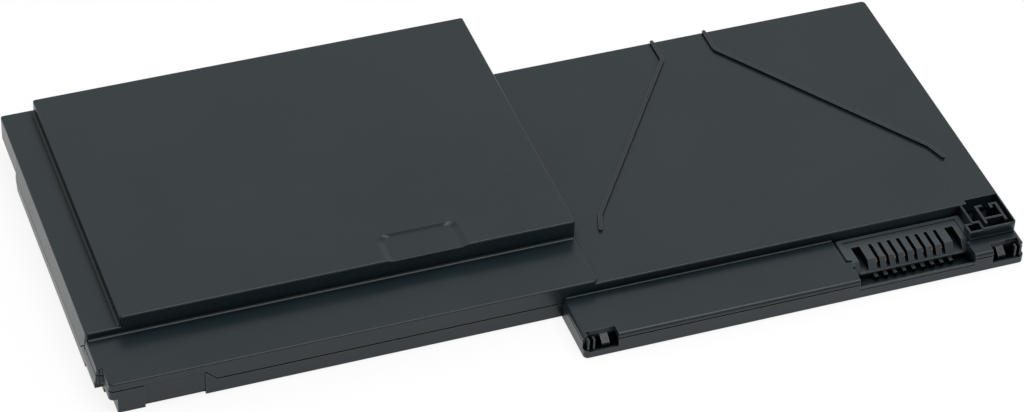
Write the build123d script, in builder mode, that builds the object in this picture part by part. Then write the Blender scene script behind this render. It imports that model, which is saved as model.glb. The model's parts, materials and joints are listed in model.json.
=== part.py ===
"""Slim notebook battery pack: a welded two-part case around three flat pouch cells.

The left half stacks two cells under a raised plateau, the thinner right half holds one, and a low
ledge along the front right holds the protection board and the comb connector.
Millimetres, +Z up, origin at the middle of the footprint on the underside, +X towards the connector
end and -Y towards the ledge.
"""
import os

from build123d import *

# Case walls
wall = 1.0
roof = 0.8
floor = 0.8
corner_radius = 1.0
upper_corner_radius = 0.5
step_radius = 0.4
rim_radius = 0.35
ledge_rim_radius = 0.8
underside_radius = 0.3
foot_round = 0.5
ledge_foot_round = 0.3

# Pouch cells and what packs them
cell_length = 85.0
cell_depth = 64.0
cell_thickness = 4.9
cell_edge_radius = 1.2
terrace_depth = 1.5
terrace_thickness = 0.5
terrace_end_margin = 3.0
tape_thickness = 0.15
tape_margin = 4.0
foam_thickness = 0.3
foam_margin = 6.0

# Room around the cells
left_side_room = 3.2
right_side_room = 0.85
cell_back_room = 0.4
left_tab_room = 2.5
right_tab_room = 1.8

# Plan of the case beside the cell bays
side_flare = 0.38
side_flare_foot = 0.2
side_strip_width = 6.9
front_slab_depth = 13.4
ledge_depth = 12.9
ledge_overlap = 7.4
corner_step = 1.0
corner_step_depth = 5.2

# Steps in height
board_gap = 0.4
board_thickness = 0.8
connector_height = 2.8
front_slab_rise = 0.75
side_strip_rise = 1.7

# Seam between the two shells
ledge_skirt = 1.0
corner_rise = 2.2
corner_rise_length = 22.3
corner_rise_depth = 16.5
corner_rise_angle = 45.0
seam_height = 0.35
seam_depth = 0.5

# Thumb scallop in the front edge of the plateau
scallop_from_middle = 22.4
scallop_length = 17.2
scallop_depth = 7.6
scallop_sink = 0.45
scallop_side_slope = 1.4
scallop_back_slope = 0.45
scallop_corner = 2.2

# Two raised ribs that spread over the right slab
rib_width = 0.8
rib_height = 0.55
rib_back_spread = 6.0
rib_back_run = 6.6
rib_front_spread = 36.4
rib_diagonal_run = 42.9
rib_end_spread = 37.8
rib_end_run = 4.1
rib_bend_radius = 2.0

# Comb connector
contact_count = 8
contact_pitch = 2.05
contact_slot_width = 0.8
guide_slot_width = 1.9
guide_slot_offset = 3.15
comb_end_wall = 1.3
comb_depth = 7.3
comb_back_wall = 1.65
comb_sink = 0.25
comb_floor = 0.5
comb_front_slope = 1.45
comb_lip_height = 0.4
comb_lip_thickness = 0.3
comb_lip_reach = 0.2
connector_from_right = 23.05
flange_wall_gap = 0.5
flange_back_margin = 0.75
flange_left_margin = 1.0
flange_right_margin = 1.05
flange_depth = 6.0
flange_thickness = 0.5
flange_sink = 0.1
flange_gap = 0.75
shelf_thickness = 0.4
shelf_land = 0.4
connector_clearance = 0.15
bay_left_room = 0.8
bay_right_overlap = 0.6
bay_sill_rise = 0.85
bay_back_wall = 0.45
bay_front_wall = 0.35
bay_floor = 0.4
bay_line_drop = 0.4
bay_line_height = 0.3
bay_line_depth = 0.1
bay_rib_width = 0.7
bay_rib_reach = 1.2
bay_rib_drop = 0.1

# Spring contacts
contact_width = 0.4
contact_thickness = 0.25
contact_bend_radius = 0.3
contact_back_gap = 0.35
contact_knee_height = 1.0
contact_arch_height = 1.4
contact_arch_run = 2.8
contact_nose_run = 3.6
contact_nose_height = 0.9

# Latch box at the right end of the ledge
latch_box_length = 9.1
latch_box_depth = 5.9
latch_jog = 1.4
latch_nose_reach = 2.3
latch_wall = 0.4
latch_setback = 1.1
latch_setback_start = 1.5
latch_pocket_depth = 3.9
latch_ring_reach = 1.2
latch_ring_drop = 0.3
latch_plinth_reach = 0.5
latch_plinth_rise = 0.5
hook_bar_width = 0.5
hook_bar_sink = 0.15
hook_side_gap = 1.25
hook_back_gap = 1.3
hook_front_gap = 1.3
hook_cross_run = 1.4
hook_return = 1.3
hook_drop = 1.1

# Pockets in the two front corners of the ledge
pocket_edge_wall = 0.9
pocket_length = 6.2
pocket_depth = 2.6
pocket_sill = 1.6
pocket_sill_wall = 0.45
pocket_end_height = 1.9
pocket_end_depth = 1.4
fin_thickness = 0.35
fin_starts = (0.7, 1.85)
fin_front_gap = 0.4
fin_depth = 0.9
fin_height = 3.6
lug_start = 3.0
lug_length = 1.6
lug_front_gap = 0.9
lug_front_height = 1.6
lug_height = 2.7

# Foot and cuts along the underside of the left half
foot_start = 2.6
foot_length = 5.4
foot_cut_depth = 6.5
foot_cut_height = 3.7
heel_cut_inset = 1.5
heel_cut_depth = 14.2
heel_cut_height = 1.6
grip_length = 12.0
grip_depth = 0.95
grip_height = 1.2
grip_recess = 0.25
back_cut_inset = 2.0
back_cut_depth = 13.5

# Tabs, leads and board
tab_width = 8.0
tab_thickness = 0.2
tab_offset = 20.0
tab_bend_radius = 0.3
tab_out = 1.0
tab_land = 3.0
lead_thickness = 0.2
lead_bend_radius = 0.8
lead_land = 4.0
lead_ramp = 3.0
lane_gap = 1.0
tap_lane_width = 2.0
middle_lane_width = 2.5
negative_lane_width = 3.0
upper_tab_clearance = 1.0
board_edge_gap = 0.6
board_tongue_length = 13.5
board_tongue_start = 6.9
board_back_tuck = 0.2
stand_width = 1.2
stand_count = 5

# Ribs inside the lower case
divider_thickness = 0.8
divider_height = 2.5
divider_end_gap = 3.0
stop_thickness = 1.0
stop_length = 8.0
stop_height = 3.0
stop_clearance = 0.2
stop_spacing = 40.0

# Parts on the board: length, depth, height
switch_size = (3.3, 3.3, 0.9)
gauge_size = (5.0, 5.0, 0.9)
resistor_size = (6.3, 3.1, 0.6)
fuse_size = (4.0, 3.0, 1.0)
thermistor_size = (2.0, 1.25, 0.8)
part_spacing = 2.5
first_part_gap = 8.0

# Plan lines of the case
plateau_length = cell_length + 2 * (wall + left_side_room)
right_half_length = cell_length + wall + 2 * right_side_room
pack_length = side_flare + side_strip_width + plateau_length + right_half_length
plateau_depth = cell_depth + 2 * wall + cell_back_room + left_tab_room
right_slab_depth = cell_depth + 2 * wall + cell_back_room + right_tab_room
pack_depth = plateau_depth + front_slab_depth + ledge_depth

x_left = side_flare - pack_length / 2
x_right = pack_length / 2
x_plateau = x_left + side_strip_width
x_middle = x_plateau + plateau_length
x_ledge = x_middle - ledge_overlap
x_right_centre = (x_middle + x_right) / 2
y_back = pack_depth / 2
y_front = -pack_depth / 2
y_plateau_front = y_back - plateau_depth
y_slab_front = y_front + ledge_depth
y_right_back = y_slab_front + right_slab_depth

# Heights of the case
board_bottom = floor + board_gap
board_top = board_bottom + board_thickness
ledge_height = board_top + connector_height
right_slab_height = floor + tape_thickness + cell_thickness + foam_thickness + roof
front_slab_height = right_slab_height + front_slab_rise
side_strip_height = front_slab_height + side_strip_rise
plateau_height = floor + 2 * (tape_thickness + cell_thickness) + foam_thickness + roof
seam_level = ledge_height - ledge_skirt
clear = 2 * plateau_height

# Plan outlines of the storeys, each inside the one below: x, y and the corner's radius
corner_points = [
    (x_left, y_slab_front + corner_step_depth, step_radius),
    (x_left + corner_step, y_slab_front + corner_step_depth, step_radius),
    (x_left + corner_step, y_slab_front, corner_radius),
]
left_back_points = [(x_middle, y_back, upper_corner_radius), (x_left, y_back, upper_corner_radius)]
right_back_points = [
    (x_right, y_right_back, corner_radius),
    (x_middle, y_right_back, corner_radius),
] + left_back_points
ledge_points = [
    (x_ledge, y_slab_front, corner_radius),
    (x_ledge, y_front, corner_radius),
    (x_right, y_front, corner_radius),
]
footprint = corner_points + ledge_points + right_back_points
slab_outline = corner_points + [(x_right, y_slab_front, corner_radius)] + right_back_points
left_outline = corner_points + [(x_middle, y_slab_front, corner_radius)] + left_back_points
strip_outline = [
    (x_left, y_plateau_front, upper_corner_radius),
    (x_middle, y_plateau_front, upper_corner_radius),
] + left_back_points
plateau_outline = [
    (x_plateau, y_plateau_front, upper_corner_radius),
    (x_middle, y_plateau_front, upper_corner_radius),
    (x_middle, y_back, upper_corner_radius),
    (x_plateau, y_back, upper_corner_radius),
]
y_ledge_root = y_slab_front + right_slab_depth / 2
ledge_outline = [
    (x_ledge, y_ledge_root, corner_radius),
    (x_ledge, y_front, corner_radius),
    (x_right, y_front, corner_radius),
    (x_right, y_ledge_root, corner_radius),
]
upper_storeys = [
    (slab_outline, right_slab_height),
    (left_outline, front_slab_height),
    (strip_outline, side_strip_height),
    (plateau_outline, plateau_height),
]

# Lengths of the leaning left wall, each from back to front and up to its storey's rim
y_flare_step = y_plateau_front + upper_corner_radius
y_flare_end = y_slab_front + corner_step_depth + step_radius
flares = [
    (y_back - back_cut_depth, y_flare_step, side_strip_height - rim_radius),
    (y_flare_step, y_flare_end, front_slab_height - rim_radius),
]

# Rib lines
x_rib_back = x_right_centre + rib_back_spread
x_rib_end = x_right_centre + rib_end_spread
y_rib_back = y_right_back - rib_width / 2
y_rib_bend = y_right_back - rib_back_run
y_rib_turn = y_rib_bend - rib_diagonal_run
y_rib_end = y_rib_turn - rib_end_run

# Connector lines
comb_span = (contact_count - 1) * contact_pitch
comb_length = comb_span + 2 * guide_slot_offset + guide_slot_width + 2 * comb_end_wall
x_comb = x_right - connector_from_right
x_comb_left = x_comb - comb_length / 2
x_comb_right = x_comb + comb_length / 2
y_flange_back = y_slab_front - flange_wall_gap
y_flange_front = y_flange_back - flange_depth
y_comb_back = y_flange_back - flange_back_margin
y_comb_front = y_comb_back - comb_depth
y_slot_back = y_comb_back - comb_back_wall
flange_top = ledge_height - flange_sink
flange_bottom = flange_top - flange_thickness
comb_top = flange_top - comb_sink
x_flange_left = x_comb_left - flange_left_margin
x_flange_right = x_comb_right + flange_right_margin
x_shelf_left = x_flange_left - flange_gap - shelf_land
x_shelf_right = x_flange_right + connector_clearance + shelf_land
y_shelf_front = y_flange_front - flange_gap - shelf_land
y_shelf_back = y_slab_front + shelf_land
bay_sill = board_top + bay_sill_rise
bay_line_top = bay_sill - bay_line_drop
x_bay_left = x_comb_left - bay_left_room
x_bay_right = x_comb_right - bay_right_overlap
y_bay_back = y_comb_front - comb_lip_reach + connector_clearance

# Latch box lines
x_latch = x_right - latch_box_length
x_latch_nose = x_latch + latch_jog
x_latch_ring = x_latch - latch_ring_reach
y_latch = y_slab_front - latch_box_depth
y_latch_nose = y_latch - latch_nose_reach
x_hook_left = x_latch_nose + latch_wall + hook_side_gap
x_hook_right = x_right - latch_wall - hook_side_gap
y_hook_back = y_slab_front - hook_back_gap
y_hook_front = y_latch_nose + latch_wall + hook_front_gap
y_hook_cross = y_hook_front + hook_cross_run
latch_outline = [
    (x_latch, y_ledge_root, step_radius),
    (x_latch, y_latch, step_radius),
    (x_latch_nose, y_latch, step_radius),
    (x_latch_nose, y_latch_nose, step_radius),
    (x_right, y_latch_nose, corner_radius),
    (x_right, y_ledge_root, corner_radius),
]
latch_floor = right_slab_height - latch_pocket_depth

# Closed hollows in the outside of the case: x, y and z from low to high
latch_pocket = (
    x_latch + latch_wall,
    x_right - latch_wall,
    y_latch + latch_wall,
    y_slab_front,
    latch_floor,
    clear,
)
latch_back_pocket = (
    x_latch + latch_setback_start,
    x_right - latch_wall,
    y_slab_front - latch_wall,
    y_slab_front + latch_setback,
    latch_floor,
    clear,
)
latch_nose_pocket = (
    x_latch_nose + latch_wall,
    x_right - latch_wall,
    y_latch_nose + latch_wall,
    y_latch + 2 * latch_wall,
    latch_floor,
    clear,
)
left_pocket_start = x_ledge + pocket_edge_wall
right_pocket_end = x_right - pocket_edge_wall
y_pocket_back = y_front + pocket_depth
left_pocket = (
    left_pocket_start,
    left_pocket_start + pocket_length,
    y_front - wall,
    y_pocket_back,
    pocket_sill,
    clear,
)
right_pocket = (
    right_pocket_end - pocket_length,
    right_pocket_end,
    y_front - wall,
    y_pocket_back,
    pocket_sill,
    clear,
)
left_pit = (
    left_pocket_start,
    left_pocket_start + pocket_length,
    y_front + pocket_sill_wall,
    y_pocket_back,
    floor,
    clear,
)
right_pit = (
    right_pocket_end - pocket_length,
    right_pocket_end,
    y_front + pocket_sill_wall,
    y_pocket_back,
    floor,
    clear,
)
left_end_cut = (
    x_ledge - wall,
    left_pocket_start + fin_thickness,
    y_front - wall,
    y_front + pocket_end_depth,
    pocket_end_height,
    clear,
)
right_end_cut = (
    right_pocket_end - fin_thickness,
    x_right + wall,
    y_front - wall,
    y_front + pocket_end_depth,
    pocket_end_height,
    clear,
)
foot_cut = (
    x_left - wall,
    x_left + foot_start,
    y_slab_front - wall,
    y_slab_front + foot_cut_depth,
    -wall,
    foot_cut_height,
)
heel_cut = (
    x_left - wall,
    x_left + heel_cut_inset,
    y_slab_front + foot_cut_depth - wall,
    y_slab_front + heel_cut_depth,
    -wall,
    heel_cut_height,
)
x_grip = x_left + foot_start + foot_length
grip_cut = (
    x_grip,
    x_grip + grip_length,
    y_slab_front - wall,
    y_slab_front + grip_depth,
    -wall,
    grip_height,
)
grip_face = (
    x_grip,
    x_grip + grip_length,
    y_slab_front - wall,
    y_slab_front + grip_recess,
    -wall,
    seam_level + corner_rise - seam_height,
)
back_cut = (
    x_left - wall,
    x_left + back_cut_inset,
    y_back - back_cut_depth,
    y_back + wall,
    -wall,
    seam_level,
)
hollows = [
    latch_pocket,
    latch_back_pocket,
    latch_nose_pocket,
    left_pocket,
    right_pocket,
    left_pit,
    right_pit,
    left_end_cut,
    right_end_cut,
    foot_cut,
    heel_cut,
    grip_cut,
    grip_face,
    back_cut,
]
connector_bay = (x_bay_left, x_bay_right, y_front - wall, y_comb_front, bay_sill, clear)

# Cell places
x_left_cell = x_plateau + plateau_length / 2
x_right_cell = x_middle + right_side_room + cell_length / 2
y_left_cell_front = y_back - wall - cell_back_room - cell_depth
y_right_cell_front = y_right_back - wall - cell_back_room - cell_depth
first_cell_bottom = floor + tape_thickness
second_cell_bottom = first_cell_bottom + cell_thickness + tape_thickness
first_tab_level = first_cell_bottom + cell_thickness / 2
second_tab_level = second_cell_bottom + cell_thickness / 2


def fill(low_x, high_x, low_y, high_y, low_z, high_z, mode=Mode.ADD):
    """Add or remove a block between its lowest and highest corners."""
    with Locations(((low_x + high_x) / 2, (low_y + high_y) / 2, (low_z + high_z) / 2)):
        Box(high_x - low_x, high_y - low_y, high_z - low_z, mode=mode)


def storey_block(outline, height, rim):
    """One storey of the case, raised from the table, with round corners and a round rim."""
    points = [(x, y) for x, y, radius in outline]
    radii = [radius for x, y, radius in outline]
    with BuildPart() as storey:
        with BuildSketch():
            with BuildLine():
                FilletPolyline(*points, radius=radii, close=True)
            make_face()
        extrude(amount=height)
        fillet(storey.faces().sort_by(Axis.Z)[-1].edges(), rim)
    return storey.part


def foot_cove(foot, away, along, length, radius):
    """A concave round where a wall stands on a lower storey, from a point and two directions."""
    with BuildPart() as cove:
        with BuildSketch(Plane(origin=foot, x_dir=away, z_dir=along)):
            with BuildLine():
                Polyline((radius, 0), (0, 0), (0, radius))
                CenterArc((radius, radius), radius, 180, 90)
            make_face()
        extrude(amount=length)
    return cove.part


def scallop_outline(level, side_spread, back_spread):
    """The scallop's outline at one level, spread outwards by two distances, open over the front edge."""
    low_x = x_middle - scallop_from_middle - scallop_length - side_spread
    high_x = x_middle - scallop_from_middle + side_spread
    high_y = y_plateau_front + scallop_depth + back_spread
    with BuildSketch(Plane.XY.offset(level)) as outline:
        with BuildLine():
            Polyline(
                (low_x, y_plateau_front - wall),
                (high_x, y_plateau_front - wall),
                (high_x, high_y),
                (low_x, high_y),
                close=True,
            )
        make_face()
        fillet(outline.vertices().group_by(Axis.Y)[-1], scallop_corner + back_spread)
    return outline.sketch


def inset_plan(outline, distance):
    """A plan outline with square corners, moved inwards by a distance."""
    with BuildSketch() as plan:
        with BuildLine():
            Polyline(*[(x, y) for x, y, radius in outline], close=True)
        make_face()
        offset(amount=-distance, kind=Kind.INTERSECTION)
    return plan.sketch


def storey_room(outline, height):
    """The space inside one storey, a wall in from its outline and under its roof."""
    with BuildPart() as room:
        with BuildSketch(Plane.XY.offset(floor)):
            add(inset_plan(outline, wall))
        extrude(amount=height - roof - floor)
    return room.part


def below_seam(drop):
    """Everything under the seam, lowered by a drop; the seam climbs at the left front corner."""
    with BuildPart() as region:
        fill(x_left - clear, x_right + clear, y_front - clear, y_back + clear, -clear, seam_level - drop)
        with BuildSketch(Plane.XY.offset(seam_level - drop)):
            with BuildLine():
                Polyline(
                    (x_left - clear, y_slab_front - clear),
                    (x_left + corner_rise_length, y_slab_front - clear),
                    (x_left + corner_rise_length, y_slab_front + corner_rise_depth),
                    (x_left - clear, y_slab_front + corner_rise_depth),
                    close=True,
                )
            make_face()
        extrude(amount=corner_rise, taper=corner_rise_angle)
    return region.part


def write_piece(piece, name):
    """Label a finished piece and write it to its own file."""
    piece.label = name
    export_step(piece, f"parts/{name}.step")


os.makedirs("parts", exist_ok=True)

# Outside of the case: the ledge, four storeys, the latch box, a cove at the foot of each inner wall,
# and the left wall, which leans out from its top down to the seam
with BuildPart() as outside:
    add(storey_block(ledge_outline, ledge_height, ledge_rim_radius))
    for outline, height in upper_storeys:
        add(storey_block(outline, height, rim_radius))
    add(storey_block(latch_outline, right_slab_height, rim_radius))
    fillet(outside.faces().sort_by(Axis.Z)[0].edges(), underside_radius)
    add(
        foot_cove(
            (x_middle - upper_corner_radius, y_plateau_front, front_slab_height),
            (0, -1, 0),
            (-1, 0, 0),
            x_middle - x_left - 2 * upper_corner_radius,
            foot_round,
        )
    )
    add(
        foot_cove(
            (x_plateau, y_plateau_front + upper_corner_radius, side_strip_height),
            (-1, 0, 0),
            (0, 1, 0),
            plateau_depth - 2 * upper_corner_radius,
            foot_round,
        )
    )
    add(
        foot_cove(
            (x_middle, y_right_back - rim_radius, right_slab_height),
            (1, 0, 0),
            (0, -1, 0),
            y_right_back - rim_radius - y_plateau_front - upper_corner_radius,
            foot_round,
        )
    )
    add(
        foot_cove(
            (x_latch, y_slab_front, ledge_height),
            (0, -1, 0),
            (-1, 0, 0),
            x_latch - x_ledge - ledge_rim_radius,
            ledge_foot_round,
        )
    )
    for y_flare_back, y_flare_front, flare_top in flares:
        with BuildSketch(Plane.XZ.offset(-y_flare_back)):
            with BuildLine():
                Polyline(
                    (x_left + wall, flare_top),
                    (x_left, flare_top),
                    (x_left - side_flare, seam_level),
                    (x_left - side_flare_foot, underside_radius),
                    (x_left + wall, underside_radius),
                    close=True,
                )
            make_face()
        extrude(amount=y_flare_back - y_flare_front)

# Inside of the case, kept a wall away from every closed hollow
with BuildPart() as inside:
    add(storey_room(footprint, ledge_height))
    for outline, height in upper_storeys:
        add(storey_room(outline, height))
    for low_x, high_x, low_y, high_y, low_z, high_z in hollows:
        backing = low_z - wall if low_z > floor + 2 * wall else 0
        fill(
            low_x - wall,
            high_x + wall,
            low_y - wall,
            high_y + wall,
            backing,
            high_z + wall,
            mode=Mode.SUBTRACT,
        )
    for x_bay_wall in (x_bay_left - wall, x_bay_right):
        fill(x_bay_wall, x_bay_wall + wall, y_front, y_bay_back, 0, clear, mode=Mode.SUBTRACT)
    fill(
        x_bay_left - wall,
        x_bay_right + wall,
        y_bay_back,
        y_bay_back + bay_back_wall,
        0,
        board_top,
        mode=Mode.SUBTRACT,
    )

# The closed case before it is parted along its seam
with BuildPart() as case:
    add(outside.part)
    add(inside.part, mode=Mode.SUBTRACT)
    for hollow in hollows:
        fill(*hollow, mode=Mode.SUBTRACT)
    fill(*connector_bay, mode=Mode.SUBTRACT)
    fill(
        x_bay_left,
        x_bay_right,
        y_front + bay_front_wall,
        y_front + 2 * wall,
        bay_floor,
        clear,
        mode=Mode.SUBTRACT,
    )
    fill(
        x_bay_left,
        x_bay_right,
        y_front - wall,
        y_front + bay_line_depth,
        bay_line_top - bay_line_height,
        bay_line_top,
        mode=Mode.SUBTRACT,
    )
    fill(
        x_comb_left - connector_clearance,
        x_comb_right + connector_clearance,
        y_comb_front,
        y_flange_front,
        ledge_height - 2 * roof,
        clear,
        mode=Mode.SUBTRACT,
    )
    fill(
        x_flange_left - flange_gap,
        x_flange_right + connector_clearance,
        y_flange_front - flange_gap,
        y_slab_front,
        ledge_height - 2 * roof,
        ledge_height + rim_radius,
        mode=Mode.SUBTRACT,
    )

# Upper shell with its scallop and ribs, the small ring and plinth beside the latch box,
# and the shelf round the comb that carries the connector's flange
with BuildPart() as upper_case:
    add(case.part)
    add(below_seam(0), mode=Mode.SUBTRACT)
    loft(
        sections=[
            scallop_outline(plateau_height - scallop_sink, -scallop_side_slope, -scallop_back_slope).face(),
            scallop_outline(plateau_height + scallop_sink, scallop_side_slope, scallop_back_slope).face(),
        ],
        mode=Mode.SUBTRACT,
    )
    with BuildSketch(Plane.XY.offset(right_slab_height - roof / 2)):
        with BuildLine():
            FilletPolyline(
                (x_rib_back, y_rib_back),
                (x_rib_back, y_rib_bend),
                (x_right_centre + rib_front_spread, y_rib_turn),
                (x_rib_end, y_rib_end),
                radius=rib_bend_radius,
            )
        trace(line_width=rib_width)
        with Locations((x_rib_back, y_rib_back), (x_rib_end, y_rib_end)):
            Circle(rib_width / 2)
        mirror(about=Plane.YZ.offset(x_right_centre))
    extrude(amount=roof / 2 + rib_height)
    with BuildSketch(Plane.XY.offset(ledge_height + connector_clearance)):
        with BuildLine():
            Polyline(
                (x_latch + latch_wall, y_latch + latch_wall / 2),
                (x_latch_ring, y_latch + latch_wall / 2),
                (x_latch_ring, y_latch_nose + latch_wall / 2),
                (x_latch_nose + latch_wall / 2, y_latch_nose + latch_wall / 2),
            )
        trace(line_width=latch_wall)
    extrude(amount=right_slab_height - latch_ring_drop - ledge_height - connector_clearance)
    fill(
        x_latch_ring - latch_wall / 2,
        x_right - ledge_rim_radius,
        y_latch_nose - latch_plinth_reach,
        y_latch_nose + latch_wall,
        ledge_height - roof / 2,
        ledge_height + latch_plinth_rise,
    )
    with BuildSketch(Plane.XY.offset(flange_bottom - shelf_thickness)):
        with BuildLine():
            Polyline(
                (x_shelf_left, y_shelf_front),
                (x_comb_left - connector_clearance, y_shelf_front),
                (x_comb_left - connector_clearance, y_comb_back + connector_clearance),
                (x_comb_right + connector_clearance, y_comb_back + connector_clearance),
                (x_comb_right + connector_clearance, y_shelf_front),
                (x_shelf_right, y_shelf_front),
                (x_shelf_right, y_shelf_back),
                (x_shelf_left, y_shelf_back),
                close=True,
            )
        make_face()
    extrude(amount=shelf_thickness)

# Lower shell with its seam line, board stands, cell stops, corner lugs and hooked latch bars
with BuildPart() as seam_line:
    with BuildSketch():
        add(inset_plan(footprint, -seam_depth))
        add(inset_plan(footprint, seam_depth), mode=Mode.SUBTRACT)
    extrude(amount=seam_level + corner_rise + wall)
    add(below_seam(seam_height), mode=Mode.SUBTRACT)

board_left = x_ledge + wall + board_edge_gap
board_right = x_flange_right
y_board_back = y_right_cell_front - board_back_tuck
y_board_front = y_bay_back + bay_back_wall + connector_clearance
x_tongue = x_ledge - board_tongue_start
y_tongue_back = y_left_cell_front - tab_out - tab_land / 2

with BuildPart() as lower_case:
    add(case.part)
    add(below_seam(0), mode=Mode.INTERSECT)
    add(seam_line.part, mode=Mode.SUBTRACT)
    with BuildSketch(Plane.XY.offset(floor)):
        with Locations((x_middle - divider_thickness, (y_right_back + y_plateau_front) / 2)):
            Rectangle(divider_thickness, y_right_back - y_plateau_front - 2 * divider_end_gap)
    extrude(amount=divider_height)
    with BuildSketch(Plane.XY.offset(floor)):
        with Locations((x_left_cell, y_left_cell_front + cell_depth / 2)):
            with GridLocations(cell_length + stop_thickness + 2 * stop_clearance, stop_spacing, 2, 2):
                Rectangle(stop_thickness, stop_length)
    extrude(amount=stop_height)
    with BuildSketch(Plane.XY.offset(floor)):
        with Locations(((board_left + x_bay_left) / 2, (y_board_back + y_board_front) / 2)):
            with GridLocations((x_bay_left - board_left) / stand_count, 0, stand_count, 1):
                Rectangle(stand_width, y_board_back - y_board_front - 2 * stand_width)
        with Locations(
            (x_comb, (y_board_back + y_board_front) / 2),
            (x_comb_right - stand_width, (y_board_back + y_board_front) / 2),
        ):
            Rectangle(stand_width, y_board_back - y_board_front - 2 * stand_width)
    extrude(amount=board_gap)
    for fin_start in fin_starts:
        for x_fin in (x_ledge + fin_start, x_right - fin_start - fin_thickness):
            fill(
                x_fin,
                x_fin + fin_thickness,
                y_front + fin_front_gap,
                y_front + fin_front_gap + fin_depth,
                floor,
                floor + fin_height,
            )
    for number in range(contact_count + 1):
        x_rib = x_comb - comb_span / 2 + (number - 1 / 2) * contact_pitch
        fill(
            x_rib - bay_rib_width / 2,
            x_rib + bay_rib_width / 2,
            y_bay_back - bay_rib_reach,
            y_bay_back,
            bay_floor,
            board_top - bay_rib_drop,
        )
    for lug_x in (left_pocket_start + lug_start, right_pocket_end - lug_start - lug_length):
        with BuildSketch(Plane.YZ.offset(lug_x)):
            with BuildLine():
                Polyline(
                    (y_front + lug_front_gap, floor),
                    (y_front + lug_front_gap, floor + lug_front_height),
                    (y_pocket_back, floor + lug_height),
                    (y_pocket_back, floor),
                    close=True,
                )
            make_face()
        extrude(amount=lug_length)
    with BuildSketch(Plane.XY.offset(latch_floor)):
        with BuildLine():
            Polyline(
                (x_hook_left + hook_return, y_hook_back),
                (x_hook_left, y_hook_back),
                (x_hook_left, y_hook_front),
            )
            Polyline(
                (x_hook_right - hook_return, y_hook_back - hook_drop),
                (x_hook_right - hook_return, y_hook_back),
                (x_hook_right, y_hook_back),
                (x_hook_right, y_hook_front),
            )
            Line((x_hook_left, y_hook_cross), (x_hook_right, y_hook_cross))
        trace(line_width=hook_bar_width)
    extrude(amount=latch_pocket_depth - hook_bar_sink)

write_piece(upper_case.part, "upper_case")
write_piece(lower_case.part, "lower_case")

# Connector: comb block, flange and a lip below the slots
with BuildPart() as connector_housing:
    with BuildSketch(Plane.YZ.offset(x_comb_left)):
        with BuildLine():
            Polyline(
                (y_comb_back, board_top),
                (y_comb_front, board_top),
                (y_comb_front, board_top + comb_lip_height),
                (y_comb_front + comb_front_slope, comb_top),
                (y_comb_back, comb_top),
                close=True,
            )
        make_face()
    extrude(amount=comb_length)
    with BuildSketch(Plane.XY.offset(flange_bottom)):
        with Locations(((x_flange_left + x_flange_right) / 2, (y_flange_back + y_flange_front) / 2)):
            RectangleRounded(x_flange_right - x_flange_left, flange_depth, corner_radius / 2)
    extrude(amount=flange_thickness)
    fill(x_comb_left, x_comb_right, y_comb_front, y_comb_back, comb_top, ledge_height, mode=Mode.SUBTRACT)
    with BuildSketch(Plane.XY.offset(board_top + comb_lip_height - comb_lip_thickness)):
        with Locations((x_comb, y_comb_front - comb_lip_reach / 2)):
            Rectangle(comb_length - 2 * comb_end_wall, comb_lip_reach)
    extrude(amount=comb_lip_thickness)
    slot_depth = y_slot_back - y_comb_front
    with BuildSketch(Plane.XY.offset(board_top + comb_floor)):
        with Locations((x_comb, y_slot_back - slot_depth / 2)):
            with GridLocations(contact_pitch, 0, contact_count, 1):
                Rectangle(contact_slot_width, slot_depth)
            with GridLocations(comb_span + 2 * guide_slot_offset, 0, 2, 1):
                Rectangle(guide_slot_width, slot_depth)
    extrude(amount=connector_height, mode=Mode.SUBTRACT)
    with BuildSketch(Plane.XY.offset(board_top)):
        with Locations((x_comb, y_slot_back - contact_back_gap)):
            with GridLocations(contact_pitch, 0, contact_count, 1):
                Rectangle(contact_slot_width, 2 * contact_back_gap)
    extrude(amount=comb_floor, mode=Mode.SUBTRACT)

write_piece(connector_housing.part, "connector_housing")

# One arched spring contact in each narrow slot, standing on the board
y_contact = y_slot_back - contact_back_gap
for number in range(contact_count):
    x_contact = x_comb - comb_span / 2 + number * contact_pitch
    with BuildPart() as contact:
        with BuildSketch(Plane.YZ.offset(x_contact - contact_width / 2)):
            with BuildLine():
                FilletPolyline(
                    (y_contact, board_top),
                    (y_contact, board_top + contact_knee_height),
                    (y_contact - contact_arch_run, board_top + contact_arch_height),
                    (y_contact - contact_nose_run, board_top + contact_nose_height),
                    radius=contact_bend_radius,
                )
            trace(line_width=contact_thickness)
        extrude(amount=contact_width)
    write_piece(contact.part, f"contact_{number + 1}")

# Pouch cells: a soft-cornered body and the thin sealed terrace that the tabs leave
cell_places = {
    "cell_left_lower": (x_left_cell, y_left_cell_front, first_cell_bottom),
    "cell_left_upper": (x_left_cell, y_left_cell_front, second_cell_bottom),
    "cell_right": (x_right_cell, y_right_cell_front, first_cell_bottom),
}
for name, (x_cell, y_cell_front, cell_bottom) in cell_places.items():
    body_depth = cell_depth - terrace_depth
    with BuildPart() as cell:
        with BuildSketch(Plane.XY.offset(cell_bottom)):
            with Locations((x_cell, y_cell_front + terrace_depth + body_depth / 2)):
                RectangleRounded(cell_length, body_depth, cell_edge_radius)
        extrude(amount=cell_thickness)
        chamfer(cell.faces().sort_by(Axis.Z)[-1].edges(), cell_edge_radius / 2)
        with BuildSketch(Plane.XY.offset(cell_bottom + (cell_thickness - terrace_thickness) / 2)):
            with Locations((x_cell, y_cell_front + terrace_depth)):
                Rectangle(cell_length - 2 * terrace_end_margin, 2 * terrace_depth)
        extrude(amount=terrace_thickness)
    write_piece(cell.part, name)

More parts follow.
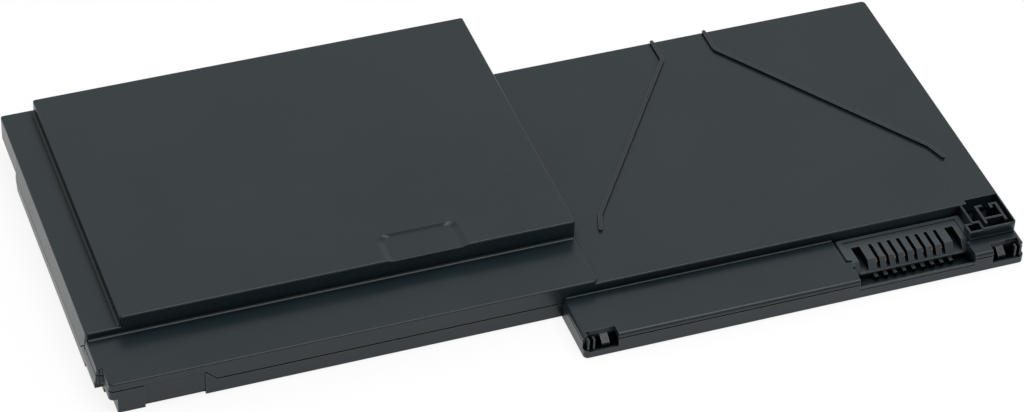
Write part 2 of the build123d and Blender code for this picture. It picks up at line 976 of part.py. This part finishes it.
# Lanes for the leads, in front of the left cells
tap_lane = y_left_cell_front - tab_out - tab_land - lane_gap
middle_lane = tap_lane - tap_lane_width - lane_gap
negative_lane = middle_lane - middle_lane_width - lane_gap
lead_on_tab = (tab_thickness + lead_thickness) / 2
upper_tab_level = first_tab_level + tab_thickness + upper_tab_clearance
board_land_level = board_top + tab_thickness / 2
x_minus = x_left_cell - tab_offset
x_plus = x_left_cell + tab_offset
y_right_tab = y_right_cell_front - tab_out

# Tabs: side lines along Y and Z, from the cell's terrace to where they are welded
tab_lines = {
    "tab_left_lower_negative": (
        x_minus,
        [(y_left_cell_front, first_tab_level), (negative_lane - negative_lane_width, first_tab_level)],
    ),
    "tab_left_lower_positive": (
        x_plus,
        [(y_left_cell_front, first_tab_level), (tap_lane - tap_lane_width, first_tab_level)],
    ),
    "tab_left_upper_positive": (
        x_minus,
        [
            (y_left_cell_front, second_tab_level),
            (y_left_cell_front - tab_out, second_tab_level),
            (y_left_cell_front - tab_out, upper_tab_level),
            (middle_lane - middle_lane_width, upper_tab_level),
        ],
    ),
    "tab_left_upper_negative": (
        x_plus,
        [
            (y_left_cell_front, second_tab_level),
            (y_left_cell_front - tab_out, second_tab_level),
            (y_left_cell_front - tab_out, first_tab_level + tab_thickness),
            (y_left_cell_front - tab_out - tab_land, first_tab_level + tab_thickness),
        ],
    ),
}
right_tab_line = [
    (y_right_cell_front, first_tab_level),
    (y_right_tab, first_tab_level),
    (y_right_tab, board_land_level),
    (y_right_tab - tab_land, board_land_level),
]
tab_lines["tab_right_negative"] = (x_right_cell - tab_offset, right_tab_line)
tab_lines["tab_right_positive"] = (x_right_cell + tab_offset, right_tab_line)
for name, (x_tab, line) in tab_lines.items():
    with BuildPart() as tab:
        with BuildSketch(Plane.YZ.offset(x_tab - tab_width / 2)):
            with BuildLine():
                if len(line) == 2:
                    Line(*line)
                else:
                    FilletPolyline(*line, radius=tab_bend_radius)
            trace(line_width=tab_thickness)
        extrude(amount=tab_width)
    write_piece(tab.part, name)

# Leads: flat strips from the left cells' tabs down to the board's tongue
lead_lines = {
    "negative_lead": (x_minus, negative_lane, negative_lane_width, first_tab_level),
    "first_tap_lead": (x_plus, tap_lane, tap_lane_width, first_tab_level),
    "middle_lead": (x_minus, middle_lane, middle_lane_width, upper_tab_level),
}
for name, (x_start, lane, lane_width, tab_level) in lead_lines.items():
    with BuildPart() as lead:
        with BuildSketch(Plane.XZ.offset(-lane)):
            with BuildLine():
                FilletPolyline(
                    (x_start - tab_width / 2, tab_level + lead_on_tab),
                    (x_tongue - lead_ramp, tab_level + lead_on_tab),
                    (x_tongue + lead_thickness, board_top + lead_thickness / 2),
                    (x_tongue + lead_thickness + lead_land, board_top + lead_thickness / 2),
                    radius=lead_bend_radius,
                )
            trace(line_width=lead_thickness)
        extrude(amount=lane_width)
    write_piece(lead.part, name)

# L-shaped protection board: a long arm in the ledge and a tongue behind it for the leads
with BuildPart() as protection_board:
    with BuildSketch(Plane.XY.offset(board_bottom)):
        with BuildLine():
            Polyline(
                (board_left, y_board_front),
                (board_right, y_board_front),
                (board_right, y_board_back),
                (x_tongue + board_tongue_length, y_board_back),
                (x_tongue + board_tongue_length, y_tongue_back),
                (x_tongue, y_tongue_back),
                (x_tongue, y_slab_front + wall + board_edge_gap),
                (board_left, y_slab_front + wall + board_edge_gap),
                close=True,
            )
        make_face()
    extrude(amount=board_thickness)
write_piece(protection_board.part, "protection_board")

# Parts soldered in a row along the board's long arm
board_parts = {
    "chemical_fuse": fuse_size,
    "charge_switch": switch_size,
    "discharge_switch": switch_size,
    "sense_resistor": resistor_size,
    "gauge_chip": gauge_size,
    "thermistor": thermistor_size,
}
x_part = board_left + first_part_gap
y_part = (y_slab_front + y_board_front) / 2
for name, (length, depth, height) in board_parts.items():
    with BuildPart() as board_part:
        with BuildSketch(Plane.XY.offset(board_top)):
            with Locations((x_part + length / 2, y_part)):
                Rectangle(length, depth)
        extrude(amount=height)
    write_piece(board_part.part, name)
    x_part += length + part_spacing

# Tapes and foams: thin sheets above and below the cells
sheets = {
    "floor_tape_left": (x_left_cell, y_left_cell_front, floor, tape_thickness, tape_margin),
    "floor_tape_right": (x_right_cell, y_right_cell_front, floor, tape_thickness, tape_margin),
    "middle_tape": (
        x_left_cell,
        y_left_cell_front,
        first_cell_bottom + cell_thickness,
        tape_thickness,
        tape_margin,
    ),
    "top_foam_left": (
        x_left_cell,
        y_left_cell_front,
        second_cell_bottom + cell_thickness,
        foam_thickness,
        foam_margin,
    ),
    "top_foam_right": (
        x_right_cell,
        y_right_cell_front,
        first_cell_bottom + cell_thickness,
        foam_thickness,
        foam_margin,
    ),
}
for name, (x_sheet, y_cell_front, bottom, thickness, margin) in sheets.items():
    with BuildPart() as sheet:
        with BuildSketch(Plane.XY.offset(bottom)):
            with Locations((x_sheet, y_cell_front + (terrace_depth + cell_depth) / 2)):
                Rectangle(cell_length - 2 * margin, cell_depth - terrace_depth - 2 * margin)
        extrude(amount=thickness)
    write_piece(sheet.part, name)
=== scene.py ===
# %% [markdown]
# # Dressing a slim notebook battery
# The pack is a flat, stepped box of charcoal plastic. Two moulded shells are welded along a fine seam, and a
# comb connector sits in a low ledge at one corner. All the shapes come from the CAD solids, so this lesson is
# about light, surface and the small marks that tell plastic from foil, copper and nickel.

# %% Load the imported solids
import json

import bpy
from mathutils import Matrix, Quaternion, Vector

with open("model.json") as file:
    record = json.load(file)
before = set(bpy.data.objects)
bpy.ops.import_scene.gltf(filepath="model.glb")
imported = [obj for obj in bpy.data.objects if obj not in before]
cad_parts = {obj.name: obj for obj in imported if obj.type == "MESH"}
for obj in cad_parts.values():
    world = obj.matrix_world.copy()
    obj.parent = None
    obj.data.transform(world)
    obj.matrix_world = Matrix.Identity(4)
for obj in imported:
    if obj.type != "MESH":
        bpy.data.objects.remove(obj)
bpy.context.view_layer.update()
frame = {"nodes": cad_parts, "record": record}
nodes = frame["nodes"]
MM = 0.001

# %% [markdown]
# ## The camera
# A product photograph like this is taken with a long lens, from the front left and well above the table.
# A long lens keeps the far edges almost parallel to the near ones. The camera could be placed by eye, but
# a pinhole camera fitted to the corners of the case gives its place, its aim, its small roll and its focal
# length at once.

# %% Place the camera
PICTURE_WIDTH = 1024
SENSOR_WIDTH = 36.0
FOCAL_PIXELS = 3593.7
CAMERA_PLACE = Vector((-202.46, -517.37, 482.55)) * MM
CAMERA_AIM = Vector((1.01, -0.29, 0.0)) * MM
CAMERA_ROLL = 0.0470
NEAREST_SEEN = 0.01
FARTHEST_SEEN = 20.0

camera_data = bpy.data.cameras.new("studio_camera")
camera_data.sensor_fit = "HORIZONTAL"
camera_data.sensor_width = SENSOR_WIDTH
camera_data.lens = FOCAL_PIXELS / PICTURE_WIDTH * SENSOR_WIDTH
camera_data.clip_start = NEAREST_SEEN
camera_data.clip_end = FARTHEST_SEEN
camera = bpy.data.objects.new("studio_camera", camera_data)
bpy.context.scene.collection.objects.link(camera)
aim = (CAMERA_AIM - CAMERA_PLACE).to_track_quat("-Z", "Y")
camera.rotation_mode = "QUATERNION"
camera.rotation_quaternion = aim @ Quaternion((0, 0, 1), CAMERA_ROLL)
camera.location = CAMERA_PLACE
bpy.context.scene.camera = camera
bpy.context.scene.view_settings.view_transform = "Standard"
print("lens in mm:", round(camera_data.lens, 1))

# %% [markdown]
# ## Helpers for node materials
# A material in Blender is a small graph. Short helpers keep the graphs readable: one starts a material
# with its shader, one adds a node and fills in its sockets by name, and the others give places on the
# piece, spread a factor over a range and blend two colours.

# %% Helpers for node materials


def start_finish(name):
    """A new material with an empty graph, its Principled shader and its output."""
    finish = bpy.data.materials.new(name)
    finish.use_nodes = True
    tree = finish.node_tree
    tree.nodes.clear()
    output = tree.nodes.new("ShaderNodeOutputMaterial")
    shader = tree.nodes.new("ShaderNodeBsdfPrincipled")
    tree.links.new(shader.outputs["BSDF"], output.inputs["Surface"])
    return finish, tree, shader


def add_node(tree, kind, settings=None, **sockets):
    """A node with its settings, and with sockets that are fed by a number, a colour or another output."""
    made = tree.nodes.new("ShaderNode" + kind)
    for setting, value in (settings or {}).items():
        setattr(made, setting, value)
    for socket, value in sockets.items():
        target = made.inputs[socket.replace("_", " ")]
        if isinstance(value, bpy.types.NodeSocket):
            tree.links.new(value, target)
        else:
            target.default_value = value
    return made


def metres(tree):
    """Places on the piece in metres: every CAD mesh keeps the shared frame in its vertices."""
    return tree.nodes.new("ShaderNodeTexCoord").outputs["Object"]


NOISE_LOW = 0.3
NOISE_HIGH = 0.7


def ramp(tree, factor, low, high, low_value, high_value):
    """A factor spread from one range to another, with soft ends."""
    made = add_node(tree, "MapRange", {"interpolation_type": "SMOOTHSTEP"}, Value=factor)
    made.inputs["From Min"].default_value = low
    made.inputs["From Max"].default_value = high
    made.inputs["To Min"].default_value = low_value
    made.inputs["To Max"].default_value = high_value
    return made.outputs["Result"]


def blend_colours(tree, factor, first, second):
    """A colour between two colours."""
    made = add_node(tree, "Mix", {"data_type": "RGBA"})
    factor_socket, first_socket, second_socket = made.inputs[0], made.inputs[6], made.inputs[7]
    tree.links.new(factor, factor_socket)
    for socket, colour in ((first_socket, first), (second_socket, second)):
        if isinstance(colour, bpy.types.NodeSocket):
            tree.links.new(colour, socket)
        else:
            socket.default_value = (*colour, 1.0)
    return made.outputs[2]


print("helpers ready")

# %% [markdown]
# ## Floor
# The pack lies on a white table in a light tent. Dark plastic takes most of its brightness from what it
# mirrors, so the white floor is what makes the side wall pale. A plain diffuse floor would render grey, and
# more light on it would also brighten the pack. So the floor glows a little for the camera, which sees it
# as nearly white with a faint shadow. In the mirror of the plastic it glows less and keeps more of its
# shadow, because the side walls mirror just the narrow strip of floor that lies in their own shade. It lies
# a hair below the pack and is clear from below, so that the underside can be looked at too.

# %% Make the floor
FLOOR_HALF = 3.0
FLOOR_DROP = 0.05 * MM
FLOOR_COLOUR = (0.86, 0.86, 0.86, 1.0)
SEEN_GLOW = 0.86
SEEN_SHADE = (0.18, 0.18, 0.18, 1.0)
MIRRORED_GLOW = 0.60
MIRRORED_SHADE = (0.44, 0.44, 0.44, 1.0)

floor_mesh = bpy.data.meshes.new("studio_floor")
corners = [(-1, -1), (1, -1), (1, 1), (-1, 1)]
floor_points = [(x * FLOOR_HALF, y * FLOOR_HALF, -FLOOR_DROP) for x, y in corners]
floor_mesh.from_pydata(floor_points, [], [(0, 1, 2, 3)])
floor = bpy.data.objects.new("studio_floor", floor_mesh)
bpy.context.scene.collection.objects.link(floor)

floor_finish, tree, shader = start_finish("studio_floor")
tree.nodes.remove(shader)


def lit_and_glowing(tree, shade, glow):
    """A floor that glows a little by itself, so that shadows on it are only as deep as its shade allows."""
    both = add_node(tree, "AddShader")
    tree.links.new(add_node(tree, "BsdfDiffuse", Color=shade).outputs[0], both.inputs[0])
    tree.links.new(add_node(tree, "Emission", Strength=glow).outputs[0], both.inputs[1])
    return both.outputs[0]


def choose(tree, factor, otherwise, chosen):
    """One shader or the other, by a factor of 0 or 1."""
    choice = add_node(tree, "MixShader")
    tree.links.new(factor, choice.inputs[0])
    tree.links.new(otherwise, choice.inputs[1])
    tree.links.new(chosen, choice.inputs[2])
    return choice.outputs[0]


ray = tree.nodes.new("ShaderNodeLightPath")
mirrored_ray = add_node(tree, "Math", {"operation": "MAXIMUM"})
tree.links.new(ray.outputs["Is Glossy Ray"], mirrored_ray.inputs[0])
tree.links.new(ray.outputs["Is Transmission Ray"], mirrored_ray.inputs[1])
plain = add_node(tree, "BsdfDiffuse", Color=FLOOR_COLOUR).outputs[0]
mirrored = lit_and_glowing(tree, MIRRORED_SHADE, MIRRORED_GLOW)
seen = lit_and_glowing(tree, SEEN_SHADE, SEEN_GLOW)
indirect = choose(tree, mirrored_ray.outputs[0], plain, mirrored)
upper_side = choose(tree, ray.outputs["Is Camera Ray"], indirect, seen)
lower_side = tree.nodes.new("ShaderNodeBsdfTransparent").outputs[0]
turned_away = tree.nodes.new("ShaderNodeNewGeometry").outputs["Backfacing"]
surface = choose(tree, turned_away, upper_side, lower_side)
output = next(node for node in tree.nodes if node.type == "OUTPUT_MATERIAL")
tree.links.new(surface, output.inputs["Surface"])
floor_mesh.materials.append(floor_finish)
print("floor of", 2 * FLOOR_HALF, "m")

# %% [markdown]
# ## Light
# The tent is white all round and open at the front, where the photographer stands, so it is dimmer there.
# One soft box hangs overhead, a little to the front and to the right, and draws a thin bright line along
# each rounded edge. Several lamps could light the pack as well, but each would add a mirrored patch of its
# own, and the even tops show none. The camera itself sees the tent as nearly white.

# %% Light the tent
TENT_BACK = 0.72
TENT_FRONT = 0.34
TENT_SEEN = 0.95
TURN_START = 0.1
TURN_END = 0.65
BOX_SIDE = 0.56
BOX_HEIGHT = 0.70
BOX_PLACE = (0.15, -0.19)
BOX_POWER = 2.7

world = bpy.data.worlds.new("light_tent")
world.use_nodes = True
tent = world.node_tree
direction = tent.nodes.new("ShaderNodeTexCoord").outputs["Generated"]
axes = add_node(tent, "SeparateXYZ", Vector=direction)
level = ramp(tent, axes.outputs["Y"], TURN_START, TURN_END, TENT_FRONT, TENT_BACK)
tent.nodes["Background"].inputs["Color"].default_value = (1.0, 1.0, 1.0, 1.0)
seen_by_camera = tent.nodes.new("ShaderNodeLightPath").outputs["Is Camera Ray"]
strength = add_node(tent, "Mix", {"data_type": "FLOAT"}, Factor=seen_by_camera, A=level, B=TENT_SEEN)
tent.links.new(strength.outputs[0], tent.nodes["Background"].inputs["Strength"])
bpy.context.scene.world = world

box_data = bpy.data.lights.new("overhead_box", "AREA")
box_data.shape = "SQUARE"
box_data.size = BOX_SIDE
box_data.energy = BOX_POWER
box_lamp = bpy.data.objects.new("overhead_box", box_data)
box_lamp.location = (*BOX_PLACE, BOX_HEIGHT)
bpy.context.scene.collection.objects.link(box_lamp)
print("tent from", TENT_FRONT, "to", TENT_BACK, "and a box of", BOX_POWER, "W")

# %% [markdown]
# ## Charcoal case plastic
# The shells are moulded in a spark-eroded tool, so the plastic has a fine, even grain and a soft sheen. A
# flat grey would look like a drawing. Here the colour drifts a little over some centimetres, the sheen
# drifts with it, a fine grain tilts the surface, and the sharp edges are painted paler: partly wear from
# handling, partly a painted highlight along the rounded edges. The deep corners are painted darker and
# mirror less, which is painted shade. An ambient occlusion node measures how much of the open air a point
# can see past its own piece, and drives that painted shade.

# %% Charcoal case plastic
CASE_DARK = (0.0112, 0.0213, 0.0264)
CASE_PALE = (0.0134, 0.0250, 0.0308)
# Edge colour: partly wear from handling, partly a painted highlight.
CASE_EDGE_WEAR_AND_HIGHLIGHT = (0.110, 0.125, 0.130)
CASE_SHEEN = 0.28
SHEEN_DRIFT = 0.03
PLASTIC_IOR = 1.46
DRIFT_SCALE = 45.0
GRAIN_SIZE = 0.16 * MM
GRAIN_DEPTH = 0.008 * MM
GRAIN_STRENGTH = 0.5
FULL_SPECULAR = 0.5
EDGE_REACH = 0.30 * MM
EDGE_BLUNT = 0.94
EDGE_SHARP = 0.76
# Painted shade in deep corners: the colour falls to a share there, and the specular level with it.
CORNER_REACH = 4.0 * MM
CORNER_SHARE = 0.10
CORNER_CLOSED = 0.35
CORNER_OPEN = 0.85


def edge_mask(tree, reach):
    """White along sharp edges: where the normal averaged over a small reach leaves the true one."""
    averaged = add_node(tree, "Bevel", {"samples": 6}, Radius=reach)
    true = tree.nodes.new("ShaderNodeNewGeometry")
    agreement = add_node(tree, "VectorMath", {"operation": "DOT_PRODUCT"})
    tree.links.new(averaged.outputs[0], agreement.inputs[0])
    tree.links.new(true.outputs["Normal"], agreement.inputs[1])
    return ramp(tree, agreement.outputs["Value"], EDGE_BLUNT, EDGE_SHARP, 0.0, 1.0)


def painted_corner_shade(tree, reach, share):
    """A factor for painted shade: one on open faces, falling to a share in the piece's own deep corners."""
    air = add_node(tree, "AmbientOcclusion", {"samples": 8, "only_local": True}, Distance=reach)
    return ramp(tree, air.outputs["AO"], CORNER_CLOSED, CORNER_OPEN, share, 1.0)


def moulded_plastic(name, dark, pale, edge_wear_and_highlight, sheen, grain_size, grain_depth):
    """Grained plastic: drifting colour and sheen, edges worn paler with a painted highlight, painted shade in
    corners.
    """
    finish, tree, shader = start_finish(name)
    place = metres(tree)
    drift = add_node(tree, "TexNoise", Vector=place, Scale=DRIFT_SCALE, Detail=3.0).outputs["Fac"]
    grain = add_node(tree, "TexNoise", Vector=place, Scale=1 / grain_size, Detail=2.0).outputs["Fac"]
    body = blend_colours(tree, ramp(tree, drift, NOISE_LOW, NOISE_HIGH, 0.0, 1.0), dark, pale)
    # Edges paler: partly wear, partly a painted highlight.
    edges = edge_mask(tree, EDGE_REACH)
    worn_and_highlit = blend_colours(tree, edges, body, edge_wear_and_highlight)
    # Painted shade: deep corners are made darker and mirror less.
    air = painted_corner_shade(tree, CORNER_REACH, CORNER_SHARE)
    colour = blend_colours(tree, air, (0.0, 0.0, 0.0), worn_and_highlit)
    tree.links.new(colour, shader.inputs["Base Color"])
    tree.links.new(ramp(tree, air, 0.0, 1.0, 0.0, FULL_SPECULAR), shader.inputs["Specular IOR Level"])
    roughness = ramp(tree, drift, NOISE_LOW, NOISE_HIGH, sheen - SHEEN_DRIFT, sheen + SHEEN_DRIFT)
    tree.links.new(roughness, shader.inputs["Roughness"])
    shader.inputs["IOR"].default_value = PLASTIC_IOR
    bump = add_node(tree, "Bump", Height=grain, Strength=GRAIN_STRENGTH, Distance=grain_depth)
    tree.links.new(bump.outputs["Normal"], shader.inputs["Normal"])
    return finish


case_plastic = moulded_plastic(
    "case_plastic", CASE_DARK, CASE_PALE, CASE_EDGE_WEAR_AND_HIGHLIGHT, CASE_SHEEN, GRAIN_SIZE, GRAIN_DEPTH
)
print("case plastic made")

# %% [markdown]
# ## Connector plastic
# The connector is a separate moulding of glass-filled nylon. It is a shade lighter than the case, and the
# short fibres near its skin mottle it. The recipe of the case serves again, with other colours and a
# coarser grain, because both are moulded plastics.

# %% Connector plastic
CONNECTOR_DARK = (0.0360, 0.0490, 0.0570)
CONNECTOR_PALE = (0.0460, 0.0600, 0.0690)
# Edge colour: partly wear from handling, partly a painted highlight.
CONNECTOR_EDGE_WEAR_AND_HIGHLIGHT = (0.120, 0.135, 0.140)
CONNECTOR_SHEEN = 0.32
FIBRE_SIZE = 0.3 * MM
FIBRE_DEPTH = 0.006 * MM

connector_plastic = moulded_plastic(
    "connector_plastic",
    CONNECTOR_DARK,
    CONNECTOR_PALE,
    CONNECTOR_EDGE_WEAR_AND_HIGHLIGHT,
    CONNECTOR_SHEEN,
    FIBRE_SIZE,
    FIBRE_DEPTH,
)
print("connector plastic made")

# %% [markdown]
# ## Metals
# The spring contacts are copper alloy under a thin gold flash, and the strips that join the cells are
# nickel. Both come from rolled sheet, so fine streaks run along them. A noise that is stretched in one
# direction draws such streaks in the colour and in the sheen. An anisotropic shader could do it too, but it
# needs a direction on every face.

# %% Rolled metals
# The copper colours are darkened well below bare copper, as painted shade for the dim slots the contacts sit
# in.
COPPER_DARK_WITH_PAINTED_SHADE = (0.24, 0.12, 0.06)
COPPER_PALE_WITH_PAINTED_SHADE = (0.36, 0.20, 0.11)
COPPER_SHEEN = 0.44
COPPER_STREAKS = (9000.0, 900.0, 900.0)
NICKEL_DARK = (0.50, 0.48, 0.44)
NICKEL_PALE = (0.66, 0.64, 0.60)
NICKEL_SHEEN = 0.34
NICKEL_STREAKS = (700.0, 6000.0, 6000.0)
STREAK_SHEEN = 0.08
STREAK_DEPTH = 0.004 * MM
STREAK_STRENGTH = 0.3


def rolled_metal(name, dark, pale, sheen, stretch):
    """Metal sheet with streaks along one direction."""
    finish, tree, shader = start_finish(name)
    stretched = add_node(tree, "Mapping", Vector=metres(tree), Scale=stretch)
    streaks = add_node(tree, "TexNoise", Vector=stretched.outputs[0], Scale=1.0, Detail=4.0).outputs["Fac"]
    colour = blend_colours(tree, ramp(tree, streaks, NOISE_LOW, NOISE_HIGH, 0.0, 1.0), dark, pale)
    tree.links.new(colour, shader.inputs["Base Color"])
    shader.inputs["Metallic"].default_value = 1.0
    roughness = ramp(tree, streaks, NOISE_LOW, NOISE_HIGH, sheen - STREAK_SHEEN, sheen + STREAK_SHEEN)
    tree.links.new(roughness, shader.inputs["Roughness"])
    bump = add_node(tree, "Bump", Height=streaks, Strength=STREAK_STRENGTH, Distance=STREAK_DEPTH)
    tree.links.new(bump.outputs["Normal"], shader.inputs["Normal"])
    return finish


contact_copper = rolled_metal("contact_copper", COPPER_DARK_WITH_PAINTED_SHADE, COPPER_PALE_WITH_PAINTED_SHADE, COPPER_SHEEN, COPPER_STREAKS)
nickel = rolled_metal("nickel", NICKEL_DARK, NICKEL_PALE, NICKEL_SHEEN, NICKEL_STREAKS)
print("contact copper and nickel made")

# %% [markdown]
# ## Cell foil
# A pouch cell is wrapped in laminated aluminium foil that is drawn over the electrode stack. Its skin is
# silvery, slightly dimpled where the stack shows through, and has fine creases. They could be modelled, but
# they are shallower than a hair, so a bump is enough.

# %% Cell foil
FOIL_DARK = (0.52, 0.53, 0.54)
FOIL_PALE = (0.72, 0.73, 0.74)
FOIL_SMOOTH = 0.32
FOIL_DULL = 0.46
DIMPLE_SCALE = 120.0
DIMPLE_DEPTH = 0.08 * MM
DIMPLE_STRENGTH = 0.4
CREASE_SCALE = 160.0
CREASE_WIDTH = 0.08
CREASE_DEPTH = 0.03 * MM
CREASE_STRENGTH = 0.3

cell_pouch, tree, shader = start_finish("cell_pouch")
place = metres(tree)
dimples = add_node(tree, "TexNoise", Vector=place, Scale=DIMPLE_SCALE, Detail=2.0).outputs["Fac"]
creases = add_node(tree, "TexVoronoi", {"feature": "DISTANCE_TO_EDGE"}, Vector=place, Scale=CREASE_SCALE)
crease_line = ramp(tree, creases.outputs["Distance"], 0.0, CREASE_WIDTH, 1.0, 0.0)
tree.links.new(blend_colours(tree, dimples, FOIL_DARK, FOIL_PALE), shader.inputs["Base Color"])
shader.inputs["Metallic"].default_value = 1.0
foil_roughness = ramp(tree, dimples, NOISE_LOW, NOISE_HIGH, FOIL_SMOOTH, FOIL_DULL)
tree.links.new(foil_roughness, shader.inputs["Roughness"])
soft = add_node(tree, "Bump", Height=dimples, Strength=DIMPLE_STRENGTH, Distance=DIMPLE_DEPTH)
creased = add_node(tree, "Bump", Height=crease_line, Strength=CREASE_STRENGTH, Distance=CREASE_DEPTH)
tree.links.new(soft.outputs["Normal"], creased.inputs["Normal"])
tree.links.new(creased.outputs["Normal"], shader.inputs["Normal"])
print("cell foil made")

# %% [markdown]
# ## Board, chips, tape and foam
# These lie sealed in the case, and show only when it is opened or cut. The board has green solder mask over
# copper tracks, which stand out as slightly paler, slightly raised cells. The chips are grey-black epoxy
# with fine filler specks, the tape is pale and mottled, and the foam is dark with small closed cells. One
# recipe of small cells serves all four, at four sizes.

# %% Board, chips, tape and foam
SPECK_HEART = 0.1
SPECK_RIM = 0.7
SPECK_STRENGTH = 0.5
BOARD_DARK = (0.008, 0.085, 0.040)
BOARD_PALE = (0.018, 0.130, 0.062)
RESIN_DARK = (0.018, 0.018, 0.020)
RESIN_PALE = (0.034, 0.034, 0.037)
TAPE_DARK = (0.70, 0.66, 0.52)
TAPE_PALE = (0.84, 0.81, 0.70)
FOAM_DARK = (0.030, 0.030, 0.031)
FOAM_PALE = (0.075, 0.075, 0.077)


def speckled(name, dark, pale, speck_size, speck_depth, smooth, dull):
    """A dull material whose colour, sheen and relief follow small cells."""
    finish, tree, shader = start_finish(name)
    cells = add_node(tree, "TexVoronoi", Vector=metres(tree), Scale=1 / speck_size)
    share = ramp(tree, cells.outputs["Distance"], SPECK_HEART, SPECK_RIM, 0.0, 1.0)
    tree.links.new(blend_colours(tree, share, pale, dark), shader.inputs["Base Color"])
    tree.links.new(ramp(tree, share, 0.0, 1.0, smooth, dull), shader.inputs["Roughness"])
    bump = add_node(tree, "Bump", Height=share, Strength=SPECK_STRENGTH, Distance=speck_depth)
    tree.links.new(bump.outputs["Normal"], shader.inputs["Normal"])
    return finish


board_laminate = speckled(
    "board_laminate", BOARD_DARK, BOARD_PALE,
    speck_size=2.2 * MM, speck_depth=0.03 * MM, smooth=0.28, dull=0.36,
)
chip_resin = speckled(
    "chip_resin", RESIN_DARK, RESIN_PALE,
    speck_size=0.25 * MM, speck_depth=0.01 * MM, smooth=0.5, dull=0.62,
)
tape = speckled(
    "tape", TAPE_DARK, TAPE_PALE,
    speck_size=0.6 * MM, speck_depth=0.02 * MM, smooth=0.6, dull=0.75,
)
foam = speckled(
    "foam", FOAM_DARK, FOAM_PALE,
    speck_size=0.4 * MM, speck_depth=0.08 * MM, smooth=0.85, dull=0.95,
)
print("board, chips, tape and foam made")

# %% [markdown]
# ## Put the finishes on
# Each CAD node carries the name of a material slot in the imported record, so the finishes can be handed out
# by that name. The meshes stay as they are: only their material slots change.

# %% Put the finishes on
finishes = {
    "case_plastic": case_plastic,
    "connector_plastic": connector_plastic,
    "contact_copper": contact_copper,
    "cell_pouch": cell_pouch,
    "nickel": nickel,
    "board_laminate": board_laminate,
    "chip_resin": chip_resin,
    "tape": tape,
    "foam": foam,
}
for subpart in frame["record"]["subparts"]:
    mesh = nodes[subpart["node"]].data
    mesh.materials.clear()
    mesh.materials.append(finishes[subpart["material_slot"]])
